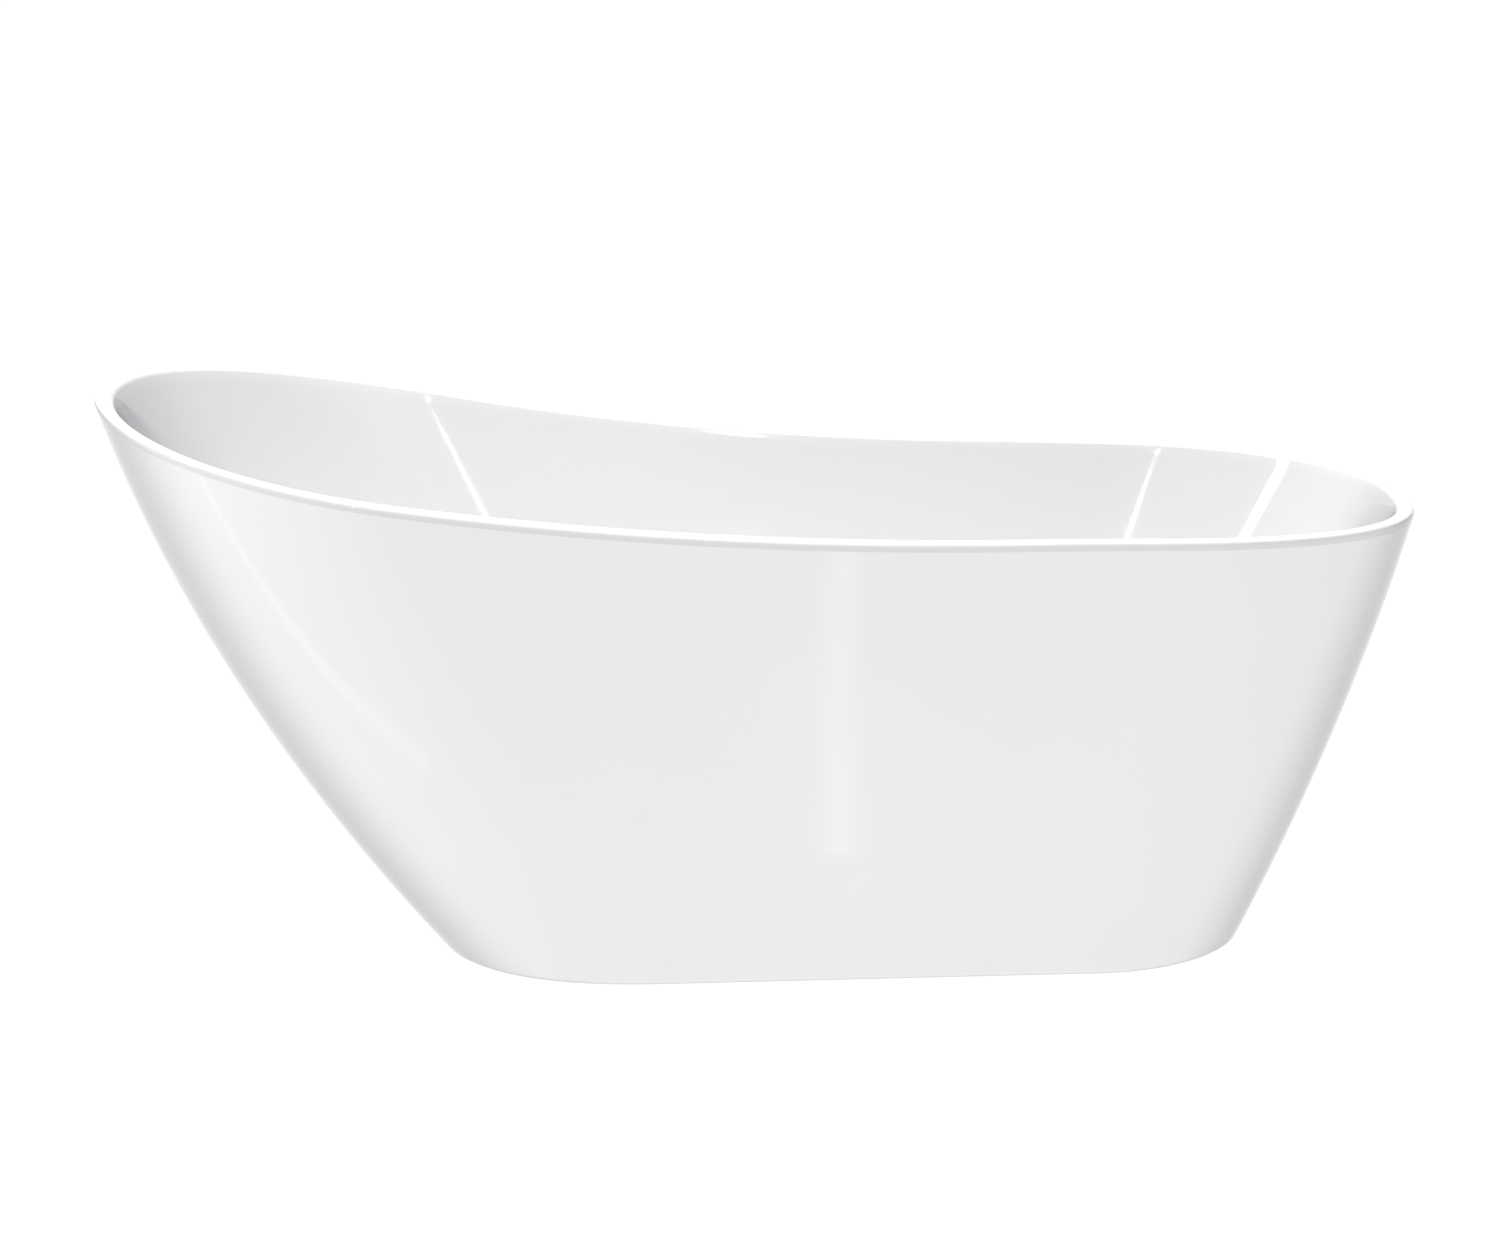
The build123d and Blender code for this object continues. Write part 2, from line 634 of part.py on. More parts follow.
def make_drain():
    """Waste fitting: flange with a spider, its gaskets, the shoe below and the outlet tube."""
    flange_under = seat_z + gasket_thickness
    flange_top = flange_under + flange_thickness
    with BuildPart() as flange:
        with BuildSketch(Plane.XZ):
            with BuildLine():
                Polyline(
                    (drain_x + drain_bore_r, drain_body_bottom),
                    (drain_x + drain_body_r, drain_body_bottom),
                    (drain_x + drain_body_r, flange_under),
                    (drain_x + flange_r, flange_under),
                    (drain_x + flange_r, flange_under + 1),
                    (drain_x + flange_r - flange_thickness, flange_top),
                    (drain_x + stopper_r + clear, flange_top),
                    (drain_x + drain_bore_r, flange_top - flange_seat_depth),
                    close=True,
                )
            make_face()
        revolve(axis=Axis((drain_x, 0, 0), (0, 0, 1)))
        with BuildSketch(Plane((drain_x, 0, drain_body_bottom + spider_height))):
            Circle(spider_hub_r)
            with PolarLocations(0, 4):
                with Locations(((drain_bore_r + clear) / 2, 0)):
                    Rectangle(drain_bore_r + clear, spider_arm)
            Circle(spider_bore_r, mode=Mode.SUBTRACT)
        extrude(amount=spider_height)
    save(flange, "drain_flange")
    with BuildPart() as upper_gasket:
        ring(seat_z, flange_under, drain_body_r + gasket_gap, flange_r - 1)
    save(upper_gasket, "drain_gasket_upper")
    shoe_top = board_top - lower_gasket_thickness
    neck = shoe_bottom - neck_length
    with BuildPart() as lower_gasket:
        ring(shoe_top, board_top, drain_body_r + gasket_gap, shoe_r + shoe_rim_width)
    save(lower_gasket, "drain_gasket_lower")
    with BuildPart() as shoe:
        ring(shoe_bottom, shoe_top - shoe_rim, drain_body_r + 0.1, shoe_r)
        ring(shoe_top - shoe_rim, shoe_top, drain_body_r + 0.1, shoe_r + shoe_rim_width)
        ring(neck, shoe_bottom + 3, tail_bore_r, neck_r)
        with BuildSketch(Plane((drain_x + shoe_r - 2, 0, branch_z), z_dir=(1, 0, 0))):
            Circle(nipple_r)
        extrude(amount=branch_length)
        with BuildSketch(Plane((drain_x, 0, branch_z), z_dir=(1, 0, 0))):
            Circle(nipple_bore_r)
        extrude(amount=shoe_r + branch_length, mode=Mode.SUBTRACT)
    save(shoe, "waste_shoe")
    with BuildPart() as washer:
        ring(neck - washer_thickness, neck, tail_bore_r + 0.5, tail_flare_r)
    save(washer, "tailpiece_washer")
    flare_bottom = neck - washer_thickness - tail_flare
    with BuildPart() as tail:
        ring(flare_bottom, flare_bottom + tail_flare, tail_bore_r, tail_flare_r)
        ring(tail_neck_bottom, flare_bottom, tail_bore_r, tail_neck_r)
        ring(tail_bottom, tail_neck_bottom, tail_bore_r, tail_r)
    save(tail, "tailpiece")
    with BuildPart() as nut:
        with BuildSketch(Plane((drain_x, 0, tail_nut_bottom))):
            RegularPolygon(tail_nut_flats / 2, 8, major_radius=False)
            Circle(tail_r + 0.2, mode=Mode.SUBTRACT)
        extrude(amount=tail_nut_height)
        with BuildSketch(Plane((drain_x, 0, flare_bottom))):
            Circle(neck_r + 0.1)
        extrude(amount=tail_nut_height, mode=Mode.SUBTRACT)
    save(nut, "tailpiece_nut")


def make_stopper():
    """Press-to-open stopper: post in the spider, stem and cap that rise on a spring."""
    spider_z = drain_body_bottom + spider_height
    spider_top = spider_z + spider_height
    post_top = seat_z - 4
    spring_low = spider_top + 3
    cap_z = seat_z + gasket_thickness + flange_thickness + 0.3 + stopper_lift
    cap_edge = cap_z + 2
    cap_top = cap_z + 5
    cap_flat_r = 3.0
    with BuildPart() as post:
        ring(spider_z - 3, spider_top, 0, post_foot_r)
        ring(spider_top, post_top, 0, post_r)
        ring(spring_low, post_top, 0, post_bore_r, mode=Mode.SUBTRACT)
    save(post, "stopper_barrel")
    with BuildPart() as stem:
        ring(spring_low + spring_length, cap_z, 0, stem_r)
    save(stem, "stopper_stem")
    with BuildPart() as cap:
        with BuildSketch(Plane.XZ):
            with BuildLine():
                Polyline(
                    (drain_x + cap_flat_r, cap_top),
                    (drain_x, cap_top),
                    (drain_x, cap_z),
                    (drain_x + stopper_r, cap_z),
                    (drain_x + stopper_r, cap_edge),
                )
                ThreePointArc(
                    (drain_x + stopper_r, cap_edge),
                    (drain_x + stopper_r / 2, between((cap_edge, cap_top), 0.77)),
                    (drain_x + cap_flat_r, cap_top),
                )
            make_face()
        revolve(axis=Axis((drain_x, 0, 0), (0, 0, 1)))
        ring(cap_z - cap_boss_height, cap_z, post_bore_r, cap_boss_r)
    save(cap, "stopper_cap")
    with BuildPart() as seal:
        ring(cap_z - 2.5, cap_z, cap_boss_r + 0.1, drain_bore_r - 0.4)
    save(seal, "stopper_seal")
    with BuildPart() as spring:
        with BuildLine(Plane((drain_x, 0, spring_low + 0.5))) as path:
            Helix(pitch=spring_pitch, height=6 * spring_pitch, radius=spring_r)
        with BuildSketch(Plane(origin=path.line @ 0, z_dir=path.line % 0)):
            Circle(spring_wire_r)
        sweep()
    save(spring, "stopper_spring")


def make_overflow():
    """Overflow fitting: slotted cover, gasket, box behind the wall, screws, hose and clamps."""
    places = ((-overflow_screw_x, 0), (overflow_screw_x, 0))
    behind = -wall_square - overflow_gasket_gap
    body_front = behind - overflow_gasket_thickness
    body_back = body_front - overflow_body_depth
    nipple_w = (body_front + body_back - 2) / 2
    with BuildPart() as cover:
        with BuildSketch(overflow_plane.offset(-overflow_seat_depth)):
            SlotOverall(*overflow_cover_size)
            SlotOverall(overflow_slot[0] - 4, overflow_slot[1] - 2, mode=Mode.SUBTRACT)
            with Locations(*places):
                Circle(overflow_screw_hole_r, mode=Mode.SUBTRACT)
        extrude(amount=overflow_cover_thickness)
        inward = Axis(overflow_plane.origin, overflow_plane.z_dir)
        fillet(cover.faces().sort_by(inward)[-1].outer_wire().edges(), 1.2)
    save(cover, "overflow_cover")
    with BuildPart() as gasket:
        with BuildSketch(overflow_plane.offset(body_front)):
            SlotOverall(*overflow_body_size)
            SlotOverall(*overflow_slot, mode=Mode.SUBTRACT)
            with Locations(*places):
                Circle(overflow_screw_hole_r, mode=Mode.SUBTRACT)
        extrude(amount=overflow_gasket_thickness)
    save(gasket, "overflow_gasket")
    with BuildPart() as body:
        with BuildSketch(overflow_plane.offset(body_back)):
            SlotOverall(*overflow_body_size)
        extrude(amount=overflow_body_depth)
        nipple_plane = Plane(
            origin=overflow_plane.from_local_coords((0, 0, nipple_w)),
            x_dir=(0, 1, 0),
            z_dir=overflow_plane.y_dir,
        )
        with BuildSketch(nipple_plane.offset(overflow_body_size[1] / 2 - 2)):
            Circle(nipple_r)
        extrude(amount=overflow_nipple_length + 2)
        with BuildSketch(overflow_plane.offset(body_back + 2)):
            SlotOverall(overflow_slot[0] - 6, overflow_slot[1] + 6)
        extrude(amount=overflow_body_depth, mode=Mode.SUBTRACT)
        with BuildSketch(nipple_plane):
            Circle(nipple_bore_r)
        extrude(amount=overflow_body_size[1] + overflow_nipple_length, mode=Mode.SUBTRACT)
        with BuildSketch(overflow_plane.offset(body_front - overflow_screw_length - 2)):
            with Locations(*places):
                Circle(overflow_pilot_r)
        extrude(amount=overflow_body_depth, mode=Mode.SUBTRACT)
    save(body, "overflow_body")
    cover_face = overflow_cover_thickness - overflow_seat_depth
    with BuildPart() as screws:
        with BuildSketch(overflow_plane.offset(body_front - overflow_screw_length)):
            with Locations(*places):
                Circle(overflow_screw_r)
        extrude(amount=cover_face - body_front + overflow_screw_length)
        with BuildSketch(overflow_plane.offset(cover_face)):
            with Locations(*places):
                Circle(overflow_head_r)
                Rectangle(overflow_head_r, 0.8, mode=Mode.SUBTRACT)
        extrude(amount=overflow_head_height)
    save(screws, "overflow_screws")
    make_hose(nipple_plane)


def make_hose(nipple_plane):
    """Hose from the overflow down between the shells to the shoe, and its two clamps."""
    start = nipple_plane.offset(overflow_body_size[1] / 2 + 2)
    top = start.origin
    turn = top + start.z_dir * hose_straight
    corner = Vector(hose_corner_x, 0, branch_z)
    end = Vector(drain_x + shoe_r + 3, 0, branch_z)
    with BuildPart() as hose:
        with BuildLine():
            FilletPolyline(top, turn, corner, end, radius=hose_bends)
        with BuildSketch(start):
            Circle(hose_r)
            Circle(hose_bore_r, mode=Mode.SUBTRACT)
        sweep()
    save(hose, "overflow_hose")
    with BuildPart() as clamps:
        for plane in (start.offset(7), Plane((drain_x + shoe_r + 12, 0, branch_z), z_dir=(1, 0, 0))):
            with BuildSketch(plane):
                Circle(hose_r + 1)
                Circle(hose_r + clamp_gap, mode=Mode.SUBTRACT)
            extrude(amount=clamp_width)
    save(clamps, "hose_clamps")


os.makedirs("parts", exist_ok=True)
make_bathing_shell()
make_outer_skirt()
make_rim_bond_strip()
make_base_board()
make_frame()
make_board_screws()
make_feet()
make_skirt_fixings()
make_drain()
make_stopper()
make_overflow()
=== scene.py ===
import json
import math

import bmesh
import bpy
from mathutils import Matrix, Vector


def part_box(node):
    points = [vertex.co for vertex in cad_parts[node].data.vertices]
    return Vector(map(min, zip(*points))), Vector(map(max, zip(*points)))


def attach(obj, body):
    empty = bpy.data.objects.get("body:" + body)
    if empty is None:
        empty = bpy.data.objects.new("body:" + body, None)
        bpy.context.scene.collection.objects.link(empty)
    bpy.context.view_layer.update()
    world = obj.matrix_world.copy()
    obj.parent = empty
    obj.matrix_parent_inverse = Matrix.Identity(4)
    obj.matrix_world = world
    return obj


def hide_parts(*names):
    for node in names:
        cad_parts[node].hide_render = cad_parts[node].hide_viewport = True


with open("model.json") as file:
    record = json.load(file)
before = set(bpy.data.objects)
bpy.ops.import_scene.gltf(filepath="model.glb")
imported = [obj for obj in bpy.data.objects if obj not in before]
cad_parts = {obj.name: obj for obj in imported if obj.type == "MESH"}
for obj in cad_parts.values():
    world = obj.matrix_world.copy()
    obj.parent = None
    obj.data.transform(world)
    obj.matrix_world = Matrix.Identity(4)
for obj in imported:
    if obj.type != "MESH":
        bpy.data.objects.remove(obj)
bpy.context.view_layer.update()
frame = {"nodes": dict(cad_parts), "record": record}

# Freestanding double-walled bathtub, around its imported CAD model. Lengths in the tub's outline
# formulas are millimetres, as in the model's own source, and MM turns them into metres.

MM = 0.001
nodes = frame["nodes"]

# ---- driving dimensions of the two shells, in millimetres ----
LENGTH = 1650.0
SIDE_HEIGHT = 591.4
BACK_RISE = 134.8
FOOT_DIP = 11.0
RISE_START_X = 308.0
RIM_HALF = 361.5
RIM_WIDTH = 22.3
BACK_HEIGHT = SIDE_HEIGHT + BACK_RISE
FOOT_HEIGHT = SIDE_HEIGHT - FOOT_DIP
SKIRT_GAP = 3.0
FLOOR_Z = 140.0
FLOOR_UNDER_Z = 132.0
WALL = 6.0
SKIRT_WALL = 5.0
LIP_DEPTH = 12.0
RIM_OUTER_RADIUS = 9.0
RIM_INNER_RADIUS = 6.0
SKIRT_EDGE_RADIUS = 8.0
SKIRT_FLANGE = 22.0
SKIRT_BACK_X = (-404.4, -LENGTH / 2)        # at the lower edge, at the rim
SKIRT_FOOT_X = (623.7, LENGTH / 2)
SKIRT_HALF = (215.0, RIM_HALF)
SKIRT_TAPER = (0.281, 0.157)
SKIRT_BACK_SHOULDER = (-115.0, -465.0)
SKIRT_FOOT_SHOULDER = (431.0, 468.0)
SKIRT_BACK_POWER = (2.22, 2.02)
SKIRT_FOOT_POWER = (2.0, 2.39)
BACK_BELLY = 46.6
FOOT_BELLY = 15.3
SIDE_BELLY = 18.8
COVE_HEIGHT = 34.0              # how far the cove reaches up the wall
COVE_REACH = 40.0               # and across the floor
DRAIN_HOLE_R = 21.6
RECESS_R = 37.0
RECESS_DEPTH = 2.5
DISH_R = 68.0
FLOOR_FOOT_X = 550.0
BASIN_BACK_X = (-430.0, -LENGTH / 2 + RIM_WIDTH)
BASIN_FOOT_X = (FLOOR_FOOT_X, LENGTH / 2 - RIM_WIDTH)
BASIN_HALF = (205.0, RIM_HALF - RIM_WIDTH)
BASIN_TAPER = (0.2, 0.157)
BASIN_BACK_SHOULDER = (-150.0, -465.0)
BASIN_FOOT_SHOULDER = (370.0, 468.0)
BASIN_BACK_POWER = (2.4, 2.02)
BASIN_FOOT_POWER = (2.4, 2.39)
BASIN_BACK_BELLY = 30.0
BASIN_SIDE_BELLY = 12.0
RISE_SHARES = (0.839, 0.161)    # shares of the climb that grow as the square and as the cube
OVERFLOW_Z = 500.0
OVERFLOW_SLOT = (48.0, 10.0)

# ---- how finely the shells are meshed ----
END_COLUMNS = 44                # columns of faces on each quarter of a rounded end
SIDE_COLUMNS = 34               # and along each side
SKIRT_ROWS = 46                 # rows up the outside of the skirt
SKIRT_EDGE_ROWS = 9
SKIRT_INNER_ROWS = 14
COVE_ROWS = 14
BASIN_ROWS = 40                 # rows up the inside of the bath
RIM_INNER_ROWS = 7
RIM_OUTER_ROWS = 10
HIDDEN_WALL_ROWS = 12
HIDDEN_COVE_ROWS = 6
HOLE_POINTS = 64                # points round the waste hole
SLOT_END_POINTS = 13
SHARP_ANGLE = math.radians(40)
HEIGHT_PASSES = 12              # repeats that settle a point on a rim whose height depends on x


def between(pair, t):
    """Value at t from 0 to 1 between the two of a pair."""
    return pair[0] + (pair[1] - pair[0]) * t


def belly(t):
    """Bulge that is 0 at both ends and 1 half way."""
    return 4 * t * (1 - t)


def even_angle(t, power):
    """Angle of a superellipse that spaces its points evenly for t from 0 to 1."""
    grow = 2 / power
    near, far = t ** (1 / grow), (1 - t) ** (1 / grow)
    return near / (near + far) * math.pi / 2


def plan_point(column, back, foot, half, taper, shoulders, powers):
    """Point of the egg-shaped plan outline; column runs from the foot end, by +Y, to the back."""
    back_shoulder, foot_shoulder = shoulders
    if column <= END_COLUMNS:
        a = even_angle(column / END_COLUMNS, powers[1])
        x = foot_shoulder + (foot - foot_shoulder) * abs(math.cos(a)) ** (2 / powers[1])
        y = half * abs(math.sin(a)) ** (2 / powers[1])
    elif column <= END_COLUMNS + SIDE_COLUMNS:
        x = between((foot_shoulder, back_shoulder), (column - END_COLUMNS) / SIDE_COLUMNS)
        y = half
    else:
        a = even_angle((column - END_COLUMNS - SIDE_COLUMNS) / END_COLUMNS, powers[0])
        x = back_shoulder - (back_shoulder - back) * abs(math.sin(a)) ** (2 / powers[0])
        y = half * abs(math.cos(a)) ** (2 / powers[0])
    return x, y * (1 - taper * x / (LENGTH / 2))


def skirt_point(column, z, inset):
    """Outside of the tub at height z, moved inwards."""
    t_back = (z - SKIRT_GAP) / (BACK_HEIGHT - SKIRT_GAP)
    t_foot = (z - SKIRT_GAP) / (FOOT_HEIGHT - SKIRT_GAP)
    t_side = (z - SKIRT_GAP) / (SIDE_HEIGHT - SKIRT_GAP)
    back = between(SKIRT_BACK_X, t_back) - BACK_BELLY * belly(t_back) + inset
    foot = between(SKIRT_FOOT_X, t_foot) + FOOT_BELLY * belly(t_foot) - inset
    half = between(SKIRT_HALF, t_side) + SIDE_BELLY * belly(t_side) - inset
    shoulders = (between(SKIRT_BACK_SHOULDER, t_back), between(SKIRT_FOOT_SHOULDER, t_foot))
    powers = (between(SKIRT_BACK_POWER, t_back), between(SKIRT_FOOT_POWER, t_foot))
    return plan_point(column, back, foot, half, between(SKIRT_TAPER, t_side), shoulders, powers)


def basin_point(column, z, inset):
    """Inside of the tub at height z, moved inwards."""
    t_back = (z - FLOOR_Z) / (BACK_HEIGHT - FLOOR_Z)
    t_foot = (z - FLOOR_Z) / (FOOT_HEIGHT - FLOOR_Z)
    t_side = (z - FLOOR_Z) / (SIDE_HEIGHT - FLOOR_Z)
    back = between(BASIN_BACK_X, t_back) - BASIN_BACK_BELLY * belly(t_back) + inset
    foot = between(BASIN_FOOT_X, t_foot) - inset
    half = between(BASIN_HALF, t_side) + BASIN_SIDE_BELLY * belly(t_side) - inset
    shoulders = (between(BASIN_BACK_SHOULDER, t_back), between(BASIN_FOOT_SHOULDER, t_foot))
    powers = (between(BASIN_BACK_POWER, t_back), between(BASIN_FOOT_POWER, t_foot))
    return plan_point(column, back, foot, half, between(BASIN_TAPER, t_side), shoulders, powers)


def rim_z(x):
    """Height of the rim above the floor at x."""
    rise = max(0.0, (RISE_START_X - x) / (RISE_START_X + LENGTH / 2))
    dip = max(0.0, (x - RISE_START_X) / (LENGTH / 2 - RISE_START_X))
    climb = RISE_SHARES[0] * rise**2 + RISE_SHARES[1] * rise**3
    return SIDE_HEIGHT + BACK_RISE * climb - FOOT_DIP * dip**2


def on_surface(point_at, column, share, low, drop, inset):
    """Point on a wall at a share of the way from a low height up to the rim less a drop."""
    z = low
    for _ in range(HEIGHT_PASSES):
        x, y = point_at(column, z, inset)
        z = low + share * (rim_z(x) - drop - low)
    return x, y, z


def mesh_object(name, vertices, faces):
    """New smooth-shaded mesh object in the scene, from millimetre vertices."""
    mesh = bpy.data.meshes.new(name)
    mesh.from_pydata([(x * MM, y * MM, z * MM) for x, y, z in vertices], [], faces)
    bm = bmesh.new()
    bm.from_mesh(mesh)
    bmesh.ops.recalc_face_normals(bm, faces=bm.faces)
    bm.to_mesh(mesh)
    bm.free()
    mesh.shade_smooth()
    obj = bpy.data.objects.new(name, mesh)
    bpy.context.scene.collection.objects.link(obj)
    mesh.set_sharp_from_angle(angle=SHARP_ANGLE)
    return obj


def full_columns():
    """Column numbers once round the tub, with the side the mirror image is on."""
    last = 2 * END_COLUMNS + SIDE_COLUMNS
    near = [(column, 1) for column in range(last + 1)]
    far = [(column, -1) for column in range(last - 1, 0, -1)]
    return near + far


def grid_faces(rows, columns, closed):
    """Quads between rows of columns that go once round; closed joins the last row to the first."""
    faces = []
    for row in range(rows if closed else rows - 1):
        above = (row + 1) % rows
        for column in range(columns):
            beside = (column + 1) % columns
            faces.append((row * columns + column, row * columns + beside,
                          above * columns + beside, above * columns + column))
    return faces


def shares(count, low=0.0, high=1.0):
    """Evenly spaced values from low to high, both included."""
    return [low + (high - low) * i / (count - 1) for i in range(count)]


# ---- the two shells ----

def skirt_rows():
    """Section of the skirt, once round from the seam under the rim, as functions of the column."""
    rows = []
    low_z = SKIRT_GAP + SKIRT_EDGE_RADIUS
    for share in shares(SKIRT_ROWS, 1.0, 0.0):
        rows.append(lambda c, s=share: on_surface(skirt_point, c, s, low_z, LIP_DEPTH, 0))
    for a in shares(SKIRT_EDGE_ROWS, 0.0, math.pi / 2)[1:]:
        z = low_z - SKIRT_EDGE_RADIUS * math.sin(a)
        inset = SKIRT_EDGE_RADIUS * (1 - math.cos(a))
        rows.append(lambda c, z=z, i=inset: (*skirt_point(c, z, i), z))
    for z, inset in ((SKIRT_GAP, SKIRT_FLANGE), (low_z, SKIRT_FLANGE), (low_z, SKIRT_WALL)):
        rows.append(lambda c, z=z, i=inset: (*skirt_point(c, z, i), z))
    for share in shares(SKIRT_INNER_ROWS)[1:]:
        rows.append(lambda c, s=share: on_surface(skirt_point, c, s, low_z, LIP_DEPTH, SKIRT_WALL))
    return rows


def basin_rows():
    """Section of the bathing shell, from the floor up, over the rim and down the hidden side."""
    rows = []
    cove_top = FLOOR_Z + COVE_HEIGHT
    hidden_low = cove_top - WALL
    for a in shares(COVE_ROWS, math.pi / 2, 0.0)[:-1]:
        z = cove_top - COVE_HEIGHT * math.sin(a)
        inset = COVE_REACH * (1 - math.cos(a))
        rows.append(lambda c, z=z, i=inset: (*basin_point(c, z, i), z))
    for share in shares(BASIN_ROWS):
        rows.append(lambda c, s=share: on_surface(basin_point, c, s, cove_top, RIM_INNER_RADIUS, 0))
    for a in shares(RIM_INNER_ROWS, 0.0, math.pi / 2)[1:]:
        drop = RIM_INNER_RADIUS * (1 - math.sin(a))
        inset = -RIM_INNER_RADIUS * (1 - math.cos(a))
        rows.append(lambda c, d=drop, i=inset: on_surface(basin_point, c, 1, cove_top, d, i))
    for a in shares(RIM_OUTER_ROWS, math.pi / 2, 0.0):
        drop = RIM_OUTER_RADIUS * (1 - math.sin(a))
        inset = RIM_OUTER_RADIUS * (1 - math.cos(a))
        rows.append(lambda c, d=drop, i=inset: on_surface(skirt_point, c, 1, cove_top, d, i))
    rows.append(lambda c: on_surface(skirt_point, c, 1, cove_top, LIP_DEPTH, 0))
    for share in shares(HIDDEN_WALL_ROWS, 1.0, 0.0):
        rows.append(lambda c, s=share: on_surface(basin_point, c, s, hidden_low, LIP_DEPTH, -WALL))
    for a in shares(HIDDEN_COVE_ROWS, 0.0, math.pi / 2)[1:]:
        z = hidden_low - (hidden_low - FLOOR_UNDER_Z) * math.sin(a)
        inset = COVE_REACH * (1 - math.cos(a)) - WALL
        rows.append(lambda c, z=z, i=inset: (*basin_point(c, z, i), z))
    return rows


def row_vertices(rows, columns):
    """Vertices of every row, mirrored to the far side where a column says so."""
    vertices = []
    for row in rows:
        for column, side in columns:
            x, y, z = row(column)
            vertices.append((x, y * side, z))
    return vertices


def drain_centre():
    """Where the waste is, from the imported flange."""
    low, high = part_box("drain_flange")
    return (low.x + high.x) / 2 / MM


def fill_floor(bm, edge_loop, centre, radii_and_heights):
    """Flat floor between a closed loop of vertices and rings about the drain."""
    rings = []
    for radius, z in radii_and_heights:
        ring = []
        for i in range(HOLE_POINTS):
            a = 2 * math.pi * i / HOLE_POINTS
            point = Vector((centre + radius * math.cos(a), radius * math.sin(a), z))
            ring.append(bm.verts.new(point * MM))
        rings.append(ring)
    for outer, inner in zip(rings, rings[1:]):
        for i in range(HOLE_POINTS):
            j = (i + 1) % HOLE_POINTS
            bm.faces.new((outer[i], outer[j], inner[j], inner[i]))
    border = []
    for loop in (edge_loop, rings[0]):
        for a, b in zip(loop, loop[1:] + loop[:1]):
            border.append(bm.edges.get((a, b)) or bm.edges.new((a, b)))
    bmesh.ops.triangle_fill(bm, use_beauty=True, use_dissolve=False, edges=border, normal=(0, 0, 1))
    return rings[-1]


def slot_cutter():
    """Prism with rounded ends through the foot end wall, where the overflow's slot is."""
    lean = (LENGTH / 2 - RIM_WIDTH - FLOOR_FOOT_X) / (FOOT_HEIGHT - FLOOR_Z)
    centre = Vector((FLOOR_FOOT_X + lean * (OVERFLOW_Z - FLOOR_Z), 0.0, OVERFLOW_Z)) * MM
    across = Vector((0.0, 1.0, 0.0))
    outward = Vector((1.0, 0.0, -lean)).normalized()
    turned = Matrix((across, outward.cross(across), outward)).transposed().to_4x4()
    radius = OVERFLOW_SLOT[1] / 2
    straight = OVERFLOW_SLOT[0] / 2 - radius
    outline = []
    for end in (1, -1):
        for a in shares(SLOT_END_POINTS, -math.pi / 2, math.pi / 2):
            outline.append((end * (straight + radius * math.cos(a)), end * radius * math.sin(a)))
    count = len(outline)
    reach = 3 * WALL
    vertices = [(x, y, depth) for depth in (-reach, reach) for x, y in outline]
    faces = [tuple(range(count))[::-1], tuple(range(count, 2 * count))]
    faces += [(i, (i + 1) % count, count + (i + 1) % count, count + i) for i in range(count)]
    cutter = mesh_object("slot_cutter", vertices, faces)
    cutter.matrix_world = Matrix.Translation(centre) @ turned
    return cutter


def cut(obj, cutter):
    """Take a cutter's volume out of a mesh and remove the cutter."""
    modifier = obj.modifiers.new("cut", "BOOLEAN")
    modifier.operation = "DIFFERENCE"
    modifier.object = cutter
    bpy.context.view_layer.update()
    evaluated = obj.evaluated_get(bpy.context.evaluated_depsgraph_get())
    mesh = bpy.data.meshes.new_from_object(evaluated)
    obj.modifiers.clear()
    obj.data = mesh
    bpy.data.objects.remove(cutter)


def make_shell():
    """Inner bathing shell as one closed mesh, with its waste hole, dish and overflow slot."""
    columns = full_columns()
    rows = basin_rows()
    faces = grid_faces(len(rows), len(columns), False)
    shell = mesh_object("acrylic_bathing_shell", row_vertices(rows, columns), faces)
    bm = bmesh.new()
    bm.from_mesh(shell.data)
    bm.verts.ensure_lookup_table()
    top_loop = [bm.verts[i] for i in range(len(columns))]
    under_loop = [bm.verts[(len(rows) - 1) * len(columns) + i] for i in range(len(columns))]
    centre = drain_centre()
    seat_z = FLOOR_Z - RECESS_DEPTH
    dish = ((DISH_R, FLOOR_Z), (RECESS_R, seat_z), (DRAIN_HOLE_R, seat_z))
    top_hole = fill_floor(bm, top_loop, centre, dish)
    under_hole = fill_floor(bm, under_loop, centre, ((DRAIN_HOLE_R, FLOOR_UNDER_Z),))
    for i in range(HOLE_POINTS):
        j = (i + 1) % HOLE_POINTS
        bm.faces.new((top_hole[i], top_hole[j], under_hole[j], under_hole[i]))
    bmesh.ops.recalc_face_normals(bm, faces=bm.faces)
    for face in bm.faces:
        face.smooth = True
    bm.to_mesh(shell.data)
    bm.free()
    cut(shell, slot_cutter())
    shell.data.set_sharp_from_angle(angle=SHARP_ANGLE)
    return shell


def make_skirt():
    """Outer skirt as one closed mesh."""
    columns = full_columns()
    rows = skirt_rows()
    faces = grid_faces(len(rows), len(columns), True)
    return mesh_object("acrylic_outer_skirt", row_vertices(rows, columns), faces)


# ---- materials ----

def new_material(name):
    """Material with its Principled shader, node tree and object coordinates."""
    material = bpy.data.materials.new(name)
    material.use_nodes = True
    tree = material.node_tree
    shader = tree.nodes["Principled BSDF"]
    coordinates = tree.nodes.new("ShaderNodeTexCoord")
    return material, tree, shader, coordinates


def noise(tree, coordinates, scale, detail=4.0, roughness=0.5):
    """Noise texture over the object, in features per metre."""
    texture = tree.nodes.new("ShaderNodeTexNoise")
    texture.inputs["Scale"].default_value = scale
    texture.inputs["Detail"].default_value = detail
    texture.inputs["Roughness"].default_value = roughness
    tree.links.new(coordinates.outputs["Object"], texture.inputs["Vector"])
    return texture.outputs["Fac"]


